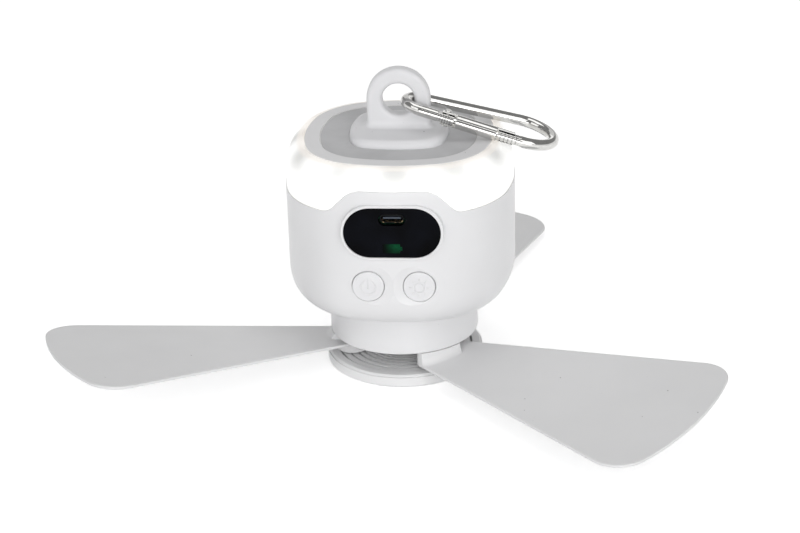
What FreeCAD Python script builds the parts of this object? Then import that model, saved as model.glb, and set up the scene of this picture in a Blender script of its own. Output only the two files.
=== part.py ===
import FreeCAD, Part
import math
import os

# Portable camping fan with a ring light, standing on its rotor disc.
# Millimetres, Z up, front towards -Y. The origin is the middle of the disc's underside.

V = FreeCAD.Vector
UP = V(0, 0, 1)

# Body plan: a rounded square made of four shallow side arcs and four corner arcs
BODY_WIDTH = 90.0
PLAN_CORNER_RADIUS = 34.0
PLAN_SIDE_BOW = 1.3
SHELL_WALL = 2.0
BODY_BOTTOM = 30.0
BOTTOM_ROUND = 15.0

# Shoulder above the vertical side, a quarter ellipse that ends at the cover plate
COVER_WIDTH = 74.4
SHOULDER_HEIGHT = 12.0
COVER_TOP = 96.4
SHOULDER_STEPS = (0, 14, 28, 42, 56, 70, 80)

# Seam between shell and light ring, with the arched hump above the window
SEAM_HEIGHT = 79.0
SEAM_GAP = 0.05
LIGHT_STEP = 0.3
HUMP_TOP = 88.6
HUMP_FLAT_HALF = 11.2
HUMP_CROWN_RADIUS = 10.0
HUMP_FOOT_RADIUS = 6.2
HUMP_SLOPE = 47.0

# Cover plate with the label band and the raised middle
COVER_THICK = 1.5
COVER_EDGE_ROUND = 0.6
COVER_FIT = 0.1
COVER_RECESS_DROP = 0.2
LIGHT_LEDGE_WIDTH = 3.6
LIGHT_LEDGE_THICK = 1.5
BAND_OUTER_WIDTH = 62.0
BAND_DEPTH = 0.35
LABEL_THICK = 0.2
LABEL_FIT = 0.25
PLATEAU_WIDTH = 38.8
PLATEAU_HEIGHT = 2.9
PLATEAU_ROUND = 2.7

# Hanging loop
LOOP_EYE_RADIUS = 6.3
LOOP_RIM = 6.1
LOOP_THICK = 6.4
LOOP_EDGE_ROUND = 1.7
LOOP_FOOT_ROUND = 2.4

# Snap hook: bent wire with a small bend in the loop's eye and a large bend at the nose end
HOOK_WIRE = 4.4
HOOK_DROOP = 16.6
HOOK_REST_GAP = 0.15
HOOK_SMALL_BEND = 6.9
HOOK_LARGE_BEND = 12.0
HOOK_BEND_SPACING = 40.6
HOOK_EYE_REACH = 0.9
HOOK_SIDE_SHIFT = -0.5
HOOK_YAW = 2.7
STUB_START = 6.8
STUB_END = 13.3
NOSE_START = 31.0
NOSE_END = 39.6
END_RADIUS = 2.1
END_THICK = 3.5
RIB_MARGIN = 1.2
RIB_COUNT = 5
RIB_GROOVE = 0.4

# Gate: tube on a rivet, open on its outer side at both ends
GATE_RADIUS = 2.75
GATE_BORE = 2.25
GATE_START = 8.3
GATE_END = 37.4
GATE_PIVOT = 10.3
GATE_PIVOT_SIDE = 0.8
GATE_OPEN_SIDE = 0.4
GATE_SLOT = 3.8
HINGE_SLOT_END = 14.3
NOSE_SLOT_START = 30.4
HINGE_RELIEF = 1.0
RIVET_RADIUS = 0.75
RIVET_HEAD_RADIUS = 1.25
RIVET_HEAD = 0.5
RUNNING_FIT = 0.05
SPRING_RADIUS = 1.85
SPRING_WIRE = 0.5
SPRING_PITCH = 1.4
SPRING_TURNS = 7
SPRING_START = 15.6

# Window with its rim, charging socket and charge indicator
WINDOW_WIDTH = 36.9
WINDOW_HEIGHT = 20.2
WINDOW_Z = 72.45
WINDOW_RIM = 1.1
WINDOW_RIM_PROUD = 0.35
WINDOW_SET_BACK = 0.5
WINDOW_THICK = 1.6
WINDOW_LEDGE = 1.0
WINDOW_LEDGE_THICK = 1.4
WINDOW_FIT = 0.06
RIM_EDGE_ROUND = 0.4
SOCKET_SLOT_WIDTH = 10.15
SOCKET_SLOT_HEIGHT = 4.9
SOCKET_Z = 77.7
SOCKET_WIDTH = 8.94
SOCKET_HEIGHT = 3.26
SOCKET_WALL = 0.3
SOCKET_SET_BACK = 1.3
SOCKET_DEPTH = 6.5
SOCKET_TONGUE_WIDTH = 6.7
SOCKET_TONGUE_THICK = 0.7
SOCKET_TONGUE_BACK = 0.8
INDICATOR_WIDTH = 6.6
INDICATOR_HEIGHT = 3.7
INDICATOR_NUB_WIDTH = 0.8
INDICATOR_NUB_HEIGHT = 1.6
INDICATOR_Z = 66.0
INDICATOR_FIT = 0.03
INDICATOR_BACK = 0.8

# Push buttons
BUTTON_RADIUS = 6.1
BUTTON_GAP = 0.2
BUTTON_SPACING = 19.5
BUTTON_Z = 49.9
BUTTON_PROUD = 0.25
BUTTON_TRAVEL = 0.8
BUTTON_DOME_RADIUS = 60.0
BUTTON_EDGE_ROUND = 0.5
BUTTON_FLANGE = 1.1
BUTTON_FLANGE_THICK = 1.0
BUTTON_FLANGE_GAP = 0.1
BUTTON_STEM_RADIUS = 1.6
BUTTON_SWITCH_GAP = 0.1
DISH_RADIUS = 7.9
DISH_DEPTH = 0.55
ICON_DEPTH = 0.22
ICON_LINE = 0.5
POWER_RING_RADIUS = 2.9
POWER_GAP_WIDTH = 2.6
POWER_BAR_LENGTH = 3.9
POWER_BAR_RISE = 1.4
SUN_RADIUS = 1.9
SUN_RAY_START = 2.8
SUN_RAY_LENGTH = 1.0
SUN_RAYS = 8

# Boards, switches and light ring
BOARD_Y = -34.0
BOARD_THICK = 1.6
BOARD_HALF_WIDTH = 27.0
BOARD_LOW = 41.0
BOARD_HIGH = 80.4
BOARD_HOLE_X = 24.0
BOARD_HOLE_INSET = 3.6
BOARD_BOSS_RADIUS = 2.4
SWITCH_SIDE = 5.2
SWITCH_BODY = 1.6
SWITCH_PLUNGER_RADIUS = 1.1
SWITCH_PLUNGER = 0.9
SCREW_RADIUS = 1.0
SCREW_HEAD_RADIUS = 1.9
SCREW_HEAD = 1.3
SCREW_FIT = 0.05
SCREW_BITE = 5.0
FRAME_THICK = 1.8
FRAME_LOW = 81.0
FRAME_FIT = 0.3
FRAME_WIRE_HOLE = 7.0
LIGHT_SEAT_RISE = 1.9
LIGHT_SEAT_WIDTH = 1.2
LIGHT_BOARD_OUTER = 76.0
LIGHT_BOARD_INNER = 54.0
LIGHT_BOARD_THICK = 1.2
CHIP_COUNT = 24
CHIP_SIZE = 2.8
CHIP_THICK = 0.7
CHIP_CIRCLE = 32.5
POST_RADIUS = 2.8
FRONT_POST = (27.0, -20.0)
REAR_POST = (24.0, 35.0)
COVER_POST_RADIUS = 2.6
COVER_POST_SPREAD = 14.0

# Battery
CELL_RADIUS = 9.1
CELL_LENGTH = 65.0
CELL_Z = 46.4
CELL_FIRST_Y = 3.0
CELL_GAP = 0.6
CELL_STACK_GAP = 0.25
CELL_FIT = 0.15
CELL_CAP = 1.0
CELL_CAP_RADIUS = 3.0
CRADLE_HALF_WIDTH = 26.0
CRADLE_LOW = 34.2
CRADLE_HIGH = 42.0
CRADLE_MARGIN = 1.0
CRADLE_LEG_RADIUS = 3.0
CRADLE_LEG_X = 20.0

# Rotor: collar below the body and disc that the fan stands on
COLLAR_RADIUS = 29.9
COLLAR_TOP_RADIUS = 29.5
COLLAR_WALL = 2.0
COLLAR_FLOOR = 2.0
COLLAR_BOTTOM = 14.0
COLLAR_BODY_GAP = 0.4
COLLAR_EDGE_ROUND = 0.5
COLUMN_RADIUS = 4.0
DISC_RADIUS = 31.5
DISC_HEIGHT = 5.4
DISC_FLOOR = 2.6
DISC_EDGE = 1.1
DISC_TIER_HEIGHT = 4.5
DISC_TIER_STEP = 0.6
DISC_RIM_WIDTH = 3.5
DISC_RIM_BEVEL = 0.5
DISC_RIDGE_PITCH = 3.3
DISC_RIDGE_SHRINK = 0.88
DISC_GROOVE = 0.8
DISC_RIDGE_DROP = 0.3
DISC_RIDGES = 7
DISC_BOSS_RADIUS = 5.0
DISC_BOSS_DROP = 0.35
DISC_SCREW_BITE = 3.4
DISC_SCREW_SUNK = 0.1

# Blades and their pivots; the first blade points to the front right
BLADE_COUNT = 3
PIVOT_RADIUS = 21.5
FIRST_PIVOT_ANGLE = -45.0
PIN_RADIUS = 1.6
PIN_HEAD_RADIUS = 3.0
PIN_HEAD = 1.3
PIN_HEAD_SUNK = 0.5
PIN_BITE = 1.3
WASHER_RADIUS = 4.4
WASHER_THICK = 0.5
WASHER_GAP = 0.05
BLADE_TOP_GAP = 0.15
BLADE_BOSS_RADIUS = 5.7
BLADE_THICK = 1.3
BLADE_EDGE_ROUND = 0.5
BLADE_ROOT_HEIGHT = 9.5
BLADE_PITCH = 7.1
BLADE_LEAN = -3.5
BLADE_SPREAD = (0.0, 0.6, 2.5)
BLADE_RISE = (2.1, -2.1, 5.7)
BLADE_ROOT_START = 1.0
BLADE_ROOT_BACK = -13.5
BLADE_ROOT_FRONT = 8.7
BLADE_TIP_BACK = (122.2, -16.8)
BLADE_TIP_FRONT = (101.5, 62.2)
BLADE_TIP_BOW = 8.0
BLADE_BACK_ROUND = 13.0
BLADE_FRONT_ROUND = 12.0
BLADE_ROOT_ROUND = 3.2
BLADE_BLOCK_END = 12.5
BLADE_BLOCK_FRONT = 3.0
BLADE_BLOCK_UNDER = 0.2
BLADE_BLOCK_BLEND = 2.4
BLADE_SKIRT = 1.4
BLADE_SKIRT_HIGH = 3.2

# Motor inside the collar
BELL_RADIUS = 24.0
BELL_WALL = 1.1
BELL_GAP = 0.2
BELL_TOP = 27.6
BELL_BOSS_RADIUS = 3.6
BELL_BOSS = 1.4
MAGNET_THICK = 2.1
MAGNET_LOW = 18.6
SHAFT_RADIUS = 1.5
SHAFT_TOP = 31.4
PRESS_FIT = 0.01
STATOR_AIR_GAP = 0.5
STATOR_LOW = 20.6
STATOR_HIGH = 25.2
STATOR_TEETH = 9
STATOR_HUB_RADIUS = 8.0
TOOTH_WIDTH = 3.0
TOOTH_SHOE_THICK = 1.6
TOOTH_SHOE_ANGLE = 31.0
COIL_BUILD = 1.0
COIL_ROUND = 0.6
COIL_CLEAR = 0.15
TUBE_RADIUS = 4.5
TUBE_BORE = 3.5
TUBE_LOW = 19.4
TUBE_TOP = 31.0
BEARING_HEIGHT = 3.0
MOTOR_BASE_RADIUS = 16.0
MOTOR_BASE_THICK = 1.5
MOTOR_BASE_GAP = 0.05
MOTOR_SCREW_CIRCLE = 12.5
HUB_SCREW_CIRCLE = 12.5
HUB_SCREW_BITE = 1.5
HUB_SCREW_HEAD = 0.9

# Derived places
BODY_HALF = BODY_WIDTH / 2
COVER_HALF = COVER_WIDTH / 2
SHOULDER_IN = BODY_HALF - COVER_HALF
SHOULDER_START = COVER_TOP - SHOULDER_HEIGHT
COVER_LOW = COVER_TOP - COVER_THICK
LIGHT_LEDGE_LOW = COVER_LOW - LIGHT_LEDGE_THICK
LOOP_RADIUS = LOOP_EYE_RADIUS + LOOP_RIM
WIRE_RADIUS = HOOK_WIRE / 2
HOOK_SLOPE = math.radians(HOOK_DROOP)
LOOP_Z = (COVER_TOP + HOOK_REST_GAP + GATE_RADIUS / math.cos(HOOK_SLOPE)
          + COVER_HALF * math.tan(HOOK_SLOPE))
WINDOW_FRONT_Y = -BODY_HALF - WINDOW_RIM_PROUD
WINDOW_LENS_Y = WINDOW_FRONT_Y + WINDOW_SET_BACK
COLLAR_TOP = BODY_BOTTOM - COLLAR_BODY_GAP
FLOOR_TOP = BODY_BOTTOM + SHELL_WALL
DISC_SCREW_SEAT = COLLAR_BOTTOM + COLLAR_FLOOR - DISC_SCREW_SUNK - SCREW_HEAD
DISC_BOSS_TOP = DISC_HEIGHT - DISC_BOSS_DROP
BLADE_BOSS_LOW = DISC_BOSS_TOP + WASHER_THICK + 2 * WASHER_GAP
BLADE_BOSS_HIGH = COLLAR_BOTTOM - BLADE_TOP_GAP
BELL_LOW = COLLAR_BOTTOM + COLLAR_FLOOR + BELL_GAP
FRAME_HIGH = FRAME_LOW + FRAME_THICK
LIGHT_BOARD_LOW = FRAME_HIGH + LIGHT_SEAT_RISE


def save(name, shape):
    """Write one sub-part."""
    shape.exportStep("parts/" + name + ".step")


def group(shapes):
    """Separate solids kept together in one node."""
    return Part.makeCompound(shapes)


def turned(shape, angle, centre=V(0, 0, 0), axis=UP):
    """A copy turned about an axis, in degrees."""
    copy = shape.copy()
    copy.rotate(centre, axis, angle)
    return copy


def post(radius, low, high, x=0.0, y=0.0):
    """Upright cylinder."""
    return Part.makeCylinder(radius, high - low, V(x, y, low))


def ring(outer, inner, low, high, x=0.0, y=0.0):
    """Upright tube."""
    overrun = 1.0
    hole = post(inner, low - overrun, high + overrun, x, y)
    return post(outer, low, high, x, y).cut(hole)


def rod_y(radius, x, z, y_front, y_back):
    """Cylinder along Y."""
    return Part.makeCylinder(radius, y_back - y_front, V(x, y_front, z), V(0, 1, 0))


def block(x0, x1, y0, y1, z0, z1):
    """Box between two corners."""
    return Part.makeBox(x1 - x0, y1 - y0, z1 - z0, V(x0, y0, z0))


def stadium_y(width, height, x, z, y_front, y_back):
    """Bar of stadium section along Y, wider than it is high."""
    radius = height / 2
    reach = width / 2 - radius
    left = rod_y(radius, x - reach, z, y_front, y_back)
    right = rod_y(radius, x + reach, z, y_front, y_back)
    middle = block(x - reach, x + reach, y_front, y_back, z - radius, z + radius)
    return left.fuse([middle, right]).removeSplitter()


def side_radius(half, corner):
    """Radius of a side arc that is tangent to both of its corner arcs."""
    centre = half - corner - PLAN_SIDE_BOW
    reach = corner + PLAN_SIDE_BOW
    return (reach ** 2 + centre ** 2 - corner ** 2) / (2 * PLAN_SIDE_BOW)


def plan_wire(half, z):
    """The body's rounded-square outline, drawn in or out to a given half width."""
    corner = PLAN_CORNER_RADIUS - (BODY_HALF - half)
    side = side_radius(half, corner)
    centre = half - corner - PLAN_SIDE_BOW
    join = math.atan2(centre, centre - half + side)
    edges = []
    for quarter in range(4):
        base = math.pi / 2 * quarter
        side_centre = V(math.cos(base), math.sin(base), 0) * (half - side)
        along = V(math.cos(base), math.sin(base), 0)
        across = V(-math.sin(base), math.cos(base), 0)
        corner_centre = along * centre + across * centre

        def on_side(angle):
            return side_centre + (along * math.cos(angle) + across * math.sin(angle)) * side

        def on_corner(angle):
            return corner_centre + (along * math.cos(angle) + across * math.sin(angle)) * corner

        lift = V(0, 0, z)
        edges.append(Part.Arc(on_side(-join) + lift, on_side(0) + lift, on_side(join) + lift).toShape())
        middle = math.pi / 4
        last = math.pi / 2 - join
        edges.append(Part.Arc(on_side(join) + lift, on_corner(middle) + lift,
                              on_corner(last) + lift).toShape())
    return Part.Wire(edges)


def plan_prism(half, low, high):
    """Upright prism of the rounded-square outline."""
    return Part.Face(plan_wire(half, low)).extrude(V(0, 0, high - low))


def flat_edges(shape, z):
    """Edges that lie in the plane at one height."""
    near = 1e-3
    box = [edge.BoundBox for edge in shape.Edges]
    pairs = zip(shape.Edges, box)
    return [edge for edge, b in pairs if abs(b.ZMin - z) < near and abs(b.ZMax - z) < near]


def envelope(inset, top_height, last_step):
    """The body's outer form drawn in evenly: rounded bottom, upright side, elliptic shoulder."""
    half = BODY_HALF - inset
    low = BODY_BOTTOM + inset
    lower = plan_prism(half, low, SHOULDER_START)
    lower = lower.makeFillet(BOTTOM_ROUND - inset, flat_edges(lower, low))
    steps = [math.radians(step) for step in SHOULDER_STEPS if step <= last_step]
    rise = (top_height - SHOULDER_START) / math.sin(steps[-1])
    wires = [plan_wire(half - SHOULDER_IN * (1 - math.cos(s)), SHOULDER_START + rise * math.sin(s))
             for s in steps]
    upper = Part.makeLoft(wires, True, False)
    return lower.fuse(upper)


def hump_side(x):
    """Distance that the front of the body plan bows in at a place left or right of the middle."""
    side = side_radius(BODY_HALF, PLAN_CORNER_RADIUS)
    return side - math.sqrt(side ** 2 - x ** 2)


def hump_region(shift, depth_back):
    """Everything below the shell seam, in front of depth_back where the seam rises to the hump."""
    slope = math.radians(HUMP_SLOPE)
    far = BODY_WIDTH
    seam = SEAM_HEIGHT + shift
    top = HUMP_TOP + shift
    crown = HUMP_CROWN_RADIUS + shift
    foot = HUMP_FOOT_RADIUS - shift
    crown_x = HUMP_FLAT_HALF + crown * math.sin(slope)
    crown_z = top - crown * (1 - math.cos(slope))
    foot_drop = foot * (1 - math.cos(slope))
    slope_run = (crown_z - seam - foot_drop) / math.tan(slope)
    foot_x = crown_x + slope_run
    end_x = foot_x + foot * math.sin(slope)

    def p(x, z):
        return V(x, -far, z)

    def right_half(sign):
        half_slope = slope / 2
        crown_mid = p(sign * (HUMP_FLAT_HALF + crown * math.sin(half_slope)),
                      top - crown * (1 - math.cos(half_slope)))
        foot_mid = p(sign * (end_x - foot * math.sin(half_slope)),
                     seam + foot * (1 - math.cos(half_slope)))
        return [
            Part.Arc(p(sign * HUMP_FLAT_HALF, top), crown_mid, p(sign * crown_x, crown_z)).toShape(),
            Part.LineSegment(p(sign * crown_x, crown_z), p(sign * foot_x, seam + foot_drop)).toShape(),
            Part.Arc(p(sign * foot_x, seam + foot_drop), foot_mid, p(sign * end_x, seam)).toShape(),
            Part.LineSegment(p(sign * end_x, seam), p(sign * far, seam)).toShape(),
        ]

    sides = [Part.LineSegment(p(-far, seam), p(-far, 0)).toShape(),
             Part.LineSegment(p(-far, 0), p(far, 0)).toShape(),
             Part.LineSegment(p(far, 0), p(far, seam)).toShape(),
             Part.LineSegment(p(-HUMP_FLAT_HALF, top), p(HUMP_FLAT_HALF, top)).toShape()]
    edges = Part.__sortEdges__(right_half(1) + right_half(-1) + sides)
    front = Part.Face(Part.Wire(edges)).extrude(V(0, far + depth_back, 0))
    back = block(-far, far, -far, far, 0, seam)
    return front.fuse(back).removeSplitter()


def screw_y(x, z, head_y, bite):
    """Pan-head screw along Y with its head behind head_y, biting towards the front."""
    head = rod_y(SCREW_HEAD_RADIUS, x, z, head_y, head_y + SCREW_HEAD)
    return head.fuse(rod_y(SCREW_RADIUS, x, z, head_y - bite, head_y)).removeSplitter()


def screw_down(x, y, head_z, bite, head=SCREW_HEAD):
    """Pan-head screw pointing down, head standing on head_z."""
    top = post(SCREW_HEAD_RADIUS, head_z, head_z + head, x, y)
    return top.fuse(post(SCREW_RADIUS, head_z - bite, head_z, x, y)).removeSplitter()


def screw_up(x, y, head_z, bite):
    """Pan-head screw pointing up, head hanging below head_z."""
    low = post(SCREW_HEAD_RADIUS, head_z - SCREW_HEAD, head_z, x, y)
    return low.fuse(post(SCREW_RADIUS, head_z, head_z + bite, x, y)).removeSplitter()


def spread_x(place):
    """A place and its mirror across the middle plane."""
    x, y = place
    return [(x, y), (-x, y)]


POSTS = spread_x(FRONT_POST) + spread_x(REAR_POST)
BOARD_HOLES = [(x, z) for x in (-BOARD_HOLE_X, BOARD_HOLE_X)
               for z in (BOARD_LOW + BOARD_HOLE_INSET, BOARD_HIGH - BOARD_HOLE_INSET)]
COVER_POSTS = [(x, y) for x in (-COVER_POST_SPREAD, COVER_POST_SPREAD)
               for y in (-COVER_POST_SPREAD, COVER_POST_SPREAD)]
BUTTON_XS = (-BUTTON_SPACING / 2, BUTTON_SPACING / 2)
BUTTON_HOLE = BUTTON_RADIUS + BUTTON_GAP
BUTTON_FACE_Y = -BODY_HALF + hump_side(BUTTON_SPACING / 2) - BUTTON_PROUD
FLANGE_RADIUS = BUTTON_RADIUS + BUTTON_FLANGE
FLANGE_FRONT = (-BODY_HALF + SHELL_WALL + hump_side(BUTTON_SPACING / 2 + FLANGE_RADIUS)
                + BUTTON_FLANGE_GAP)
SWITCH_FACE_Y = BOARD_Y - SWITCH_BODY - SWITCH_PLUNGER
STEM_END_Y = SWITCH_FACE_Y - BUTTON_TRAVEL - BUTTON_SWITCH_GAP


def ring_points(count, radius, start=0.0):
    """Places evenly round a circle."""
    angles = [math.radians(start + 360.0 / count * i) for i in range(count)]
    return [(radius * math.cos(a), radius * math.sin(a)) for a in angles]


PIVOT_ANGLES = [FIRST_PIVOT_ANGLE + 360.0 / BLADE_COUNT * i for i in range(BLADE_COUNT)]
PIVOTS = ring_points(BLADE_COUNT, PIVOT_RADIUS, FIRST_PIVOT_ANGLE)


def lower_shell():
    """White housing: rounded bottom, window rim, button holes, screw posts."""
    outer = envelope(0.0, COVER_TOP - COVER_RECESS_DROP, SHOULDER_STEPS[-1])
    solid = outer.common(hump_region(0.0, 0.0))
    window = stadium_y(WINDOW_WIDTH + 2 * WINDOW_RIM, WINDOW_HEIGHT + 2 * WINDOW_RIM, 0, WINDOW_Z,
                       WINDOW_FRONT_Y, WINDOW_LENS_Y + WINDOW_THICK + WINDOW_LEDGE_THICK)
    front = [edge for edge in window.Edges if abs(edge.BoundBox.YMax - WINDOW_FRONT_Y) < RUNNING_FIT]
    window = window.makeFillet(RIM_EDGE_ROUND, front)
    cavity = envelope(SHELL_WALL, LIGHT_LEDGE_LOW, SHOULDER_STEPS[-2])
    shell = solid.cut(cavity)
    core = envelope(SHELL_WALL / 2, LIGHT_LEDGE_LOW, SHOULDER_STEPS[-2])
    frame_posts = [post(POST_RADIUS, BODY_BOTTOM, FRAME_LOW, x, y).common(core) for x, y in POSTS]
    bosses = [rod_y(BOARD_BOSS_RADIUS, x, z, -BODY_HALF, BOARD_Y).common(core) for x, z in BOARD_HOLES]
    shell = shell.fuse(frame_posts + bosses + [window])
    far = BODY_HALF * 2
    cuts = [stadium_y(WINDOW_WIDTH, WINDOW_HEIGHT, 0, WINDOW_Z, -far, WINDOW_LENS_Y + WINDOW_THICK),
            stadium_y(WINDOW_WIDTH - 2 * WINDOW_LEDGE, WINDOW_HEIGHT - 2 * WINDOW_LEDGE, 0, WINDOW_Z,
                      -far, BOARD_Y - SCREW_BITE)]
    for x in BUTTON_XS:
        rim_y = -BODY_HALF + hump_side(x)
        cuts.append(rod_y(BUTTON_HOLE, x, BUTTON_Z, -far, FLANGE_FRONT))
        dish_slope = (DISH_RADIUS - BUTTON_HOLE) / DISH_DEPTH
        dish_reach = 2.0
        cuts.append(Part.makeCone(DISH_RADIUS + dish_slope * dish_reach, BUTTON_HOLE,
                                  DISH_DEPTH + dish_reach, V(x, rim_y - dish_reach, BUTTON_Z), V(0, 1, 0)))
    for x, y in POSTS:
        cuts.append(post(SCREW_RADIUS + SCREW_FIT, FRAME_LOW - SCREW_BITE, FRAME_LOW, x, y))
    for x, z in BOARD_HOLES:
        cuts.append(rod_y(SCREW_RADIUS + SCREW_FIT, x, z, BOARD_Y - SCREW_BITE, BOARD_Y))
    for x, y in ring_points(BLADE_COUNT, MOTOR_SCREW_CIRCLE):
        cuts.append(post(SCREW_RADIUS + SCREW_FIT, 0, FLOOR_TOP, x, y))
    cuts.append(post(TUBE_RADIUS + SCREW_FIT, 0, FLOOR_TOP, 0, 0))
    return shell.cut(cuts)


def light_diffuser():
    """Milky ring between shell and cover."""
    outer = envelope(LIGHT_STEP, COVER_TOP - COVER_RECESS_DROP, SHOULDER_STEPS[-1])
    cavity = envelope(SHELL_WALL, LIGHT_LEDGE_LOW, SHOULDER_STEPS[-2])
    body = outer.cut(cavity)
    opening = plan_prism(COVER_HALF - LIGHT_LEDGE_WIDTH, LIGHT_LEDGE_LOW - SHELL_WALL, COVER_TOP)
    seat = plan_prism(COVER_HALF + COVER_FIT, COVER_LOW, COVER_TOP)
    return body.cut([opening, seat, hump_region(SEAM_GAP, 0.0)])


def loop_outline():
    """Hanging loop: a round eye on straight limbs, extruded along Y."""
    foot = COVER_TOP + PLATEAU_HEIGHT - PLATEAU_ROUND
    limbs = block(-LOOP_RADIUS, LOOP_RADIUS, -LOOP_THICK / 2, LOOP_THICK / 2, foot, LOOP_Z)
    crown = rod_y(LOOP_RADIUS, 0, LOOP_Z, -LOOP_THICK / 2, LOOP_THICK / 2)
    solid = limbs.fuse(crown).removeSplitter()
    solid = solid.cut(rod_y(LOOP_EYE_RADIUS, 0, LOOP_Z, -LOOP_THICK, LOOP_THICK))
    keep = []
    for edge in solid.Edges:
        box = edge.BoundBox
        on_face = abs(abs(box.YMin) - LOOP_THICK / 2) < RUNNING_FIT and box.YLength < RUNNING_FIT
        if on_face and box.ZMax > foot + RUNNING_FIT:
            keep.append(edge)
    return solid.makeFillet(LOOP_EDGE_ROUND, keep)


def top_cover():
    """Cover plate with label band, raised middle, hanging loop and screw posts."""
    plate = plan_prism(COVER_HALF, COVER_LOW, COVER_TOP)
    plate = plate.makeFillet(COVER_EDGE_ROUND, flat_edges(plate, COVER_TOP))
    band = plan_prism(BAND_OUTER_WIDTH / 2, COVER_TOP - BAND_DEPTH, COVER_TOP + BAND_DEPTH)
    band = band.cut(plan_prism(PLATEAU_WIDTH / 2, COVER_LOW, COVER_TOP + BAND_DEPTH))
    plate = plate.cut(band)
    plateau_top = COVER_TOP + PLATEAU_HEIGHT
    plateau = plan_prism(PLATEAU_WIDTH / 2, COVER_LOW, plateau_top)
    plateau = plateau.makeFillet(PLATEAU_ROUND, flat_edges(plateau, plateau_top))
    crown = plateau.fuse(loop_outline())
    foot = [edge for edge in crown.Edges
            if abs(edge.BoundBox.ZMin - plateau_top) < RUNNING_FIT
            and abs(edge.BoundBox.ZMax - plateau_top) < RUNNING_FIT
            and abs(edge.BoundBox.XMax) < LOOP_RADIUS + RUNNING_FIT
            and abs(edge.BoundBox.XMin) < LOOP_RADIUS + RUNNING_FIT]
    crown = crown.makeFillet(LOOP_FOOT_ROUND, foot)
    posts = [post(COVER_POST_RADIUS, FRAME_HIGH, COVER_LOW + RUNNING_FIT, x, y) for x, y in COVER_POSTS]
    cover = plate.fuse([crown] + posts)
    holes = [post(SCREW_RADIUS + SCREW_FIT, FRAME_HIGH, FRAME_HIGH + SCREW_BITE, x, y)
             for x, y in COVER_POSTS]
    return cover.cut(holes)


def label_ring():
    """Thin bare ring laid in the cover's band."""
    low = COVER_TOP - BAND_DEPTH
    outer = plan_prism(BAND_OUTER_WIDTH / 2 - LABEL_FIT, low, low + LABEL_THICK)
    return outer.cut(plan_prism(PLATEAU_WIDTH / 2 + LABEL_FIT, COVER_LOW, COVER_TOP))


def indicator_solid(grow):
    """Charge indicator: a plain cell shape with a nub, drawn out by grow."""
    front = WINDOW_LENS_Y - grow
    back = WINDOW_LENS_Y + WINDOW_THICK + INDICATOR_BACK + grow
    half = INDICATOR_WIDTH / 2 + grow
    tall = INDICATOR_HEIGHT / 2 + grow
    nub = INDICATOR_NUB_HEIGHT / 2 + grow
    left = -(INDICATOR_WIDTH + INDICATOR_NUB_WIDTH) / 2
    middle = left + INDICATOR_WIDTH / 2
    main = block(middle - half, middle + half, front, back, INDICATOR_Z - tall, INDICATOR_Z + tall)
    end = block(middle, middle + half + INDICATOR_NUB_WIDTH, front, back,
                INDICATOR_Z - nub, INDICATOR_Z + nub)
    return main.fuse(end).removeSplitter()


def window_lens():
    """Black window with the socket slot and the indicator opening."""
    back = WINDOW_LENS_Y + WINDOW_THICK
    lens = stadium_y(WINDOW_WIDTH - 2 * WINDOW_FIT, WINDOW_HEIGHT - 2 * WINDOW_FIT, 0, WINDOW_Z,
                     WINDOW_LENS_Y, back)
    slot = stadium_y(SOCKET_SLOT_WIDTH, SOCKET_SLOT_HEIGHT, 0, SOCKET_Z, -BODY_WIDTH, back + WINDOW_THICK)
    return lens.cut([slot, indicator_solid(INDICATOR_FIT)])


def charge_socket():
    """USB-C receptacle: metal mouth, tongue and closed rear."""
    front = WINDOW_LENS_Y + SOCKET_SET_BACK
    rear = front + SOCKET_DEPTH
    can = stadium_y(SOCKET_WIDTH, SOCKET_HEIGHT, 0, SOCKET_Z, front, BOARD_Y)
    mouth = stadium_y(SOCKET_WIDTH - 2 * SOCKET_WALL, SOCKET_HEIGHT - 2 * SOCKET_WALL, 0, SOCKET_Z,
                      -BODY_WIDTH, rear)
    tongue = block(-SOCKET_TONGUE_WIDTH / 2, SOCKET_TONGUE_WIDTH / 2, front + SOCKET_TONGUE_BACK, rear,
                   SOCKET_Z - SOCKET_TONGUE_THICK / 2, SOCKET_Z + SOCKET_TONGUE_THICK / 2)
    return can.cut(mouth).fuse(tongue).removeSplitter()


def power_icon(x, face):
    """Ring with a gap and an upright bar."""
    low = POWER_RING_RADIUS - ICON_LINE / 2
    ring_cut = rod_y(low + ICON_LINE, x, BUTTON_Z, face - BUTTON_TRAVEL, face + ICON_DEPTH)
    ring_cut = ring_cut.cut(rod_y(low, x, BUTTON_Z, face - BUTTON_TRAVEL, face + ICON_DEPTH))
    gap = block(x - POWER_GAP_WIDTH / 2, x + POWER_GAP_WIDTH / 2, face - BUTTON_TRAVEL,
                face + ICON_DEPTH, BUTTON_Z, BUTTON_Z + POWER_RING_RADIUS + ICON_LINE)
    bar_top = BUTTON_Z + POWER_BAR_RISE + POWER_BAR_LENGTH / 2
    bar = block(x - ICON_LINE / 2, x + ICON_LINE / 2, face - BUTTON_TRAVEL, face + ICON_DEPTH,
                bar_top - POWER_BAR_LENGTH, bar_top)
    return ring_cut.cut(gap).fuse(bar)


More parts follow.
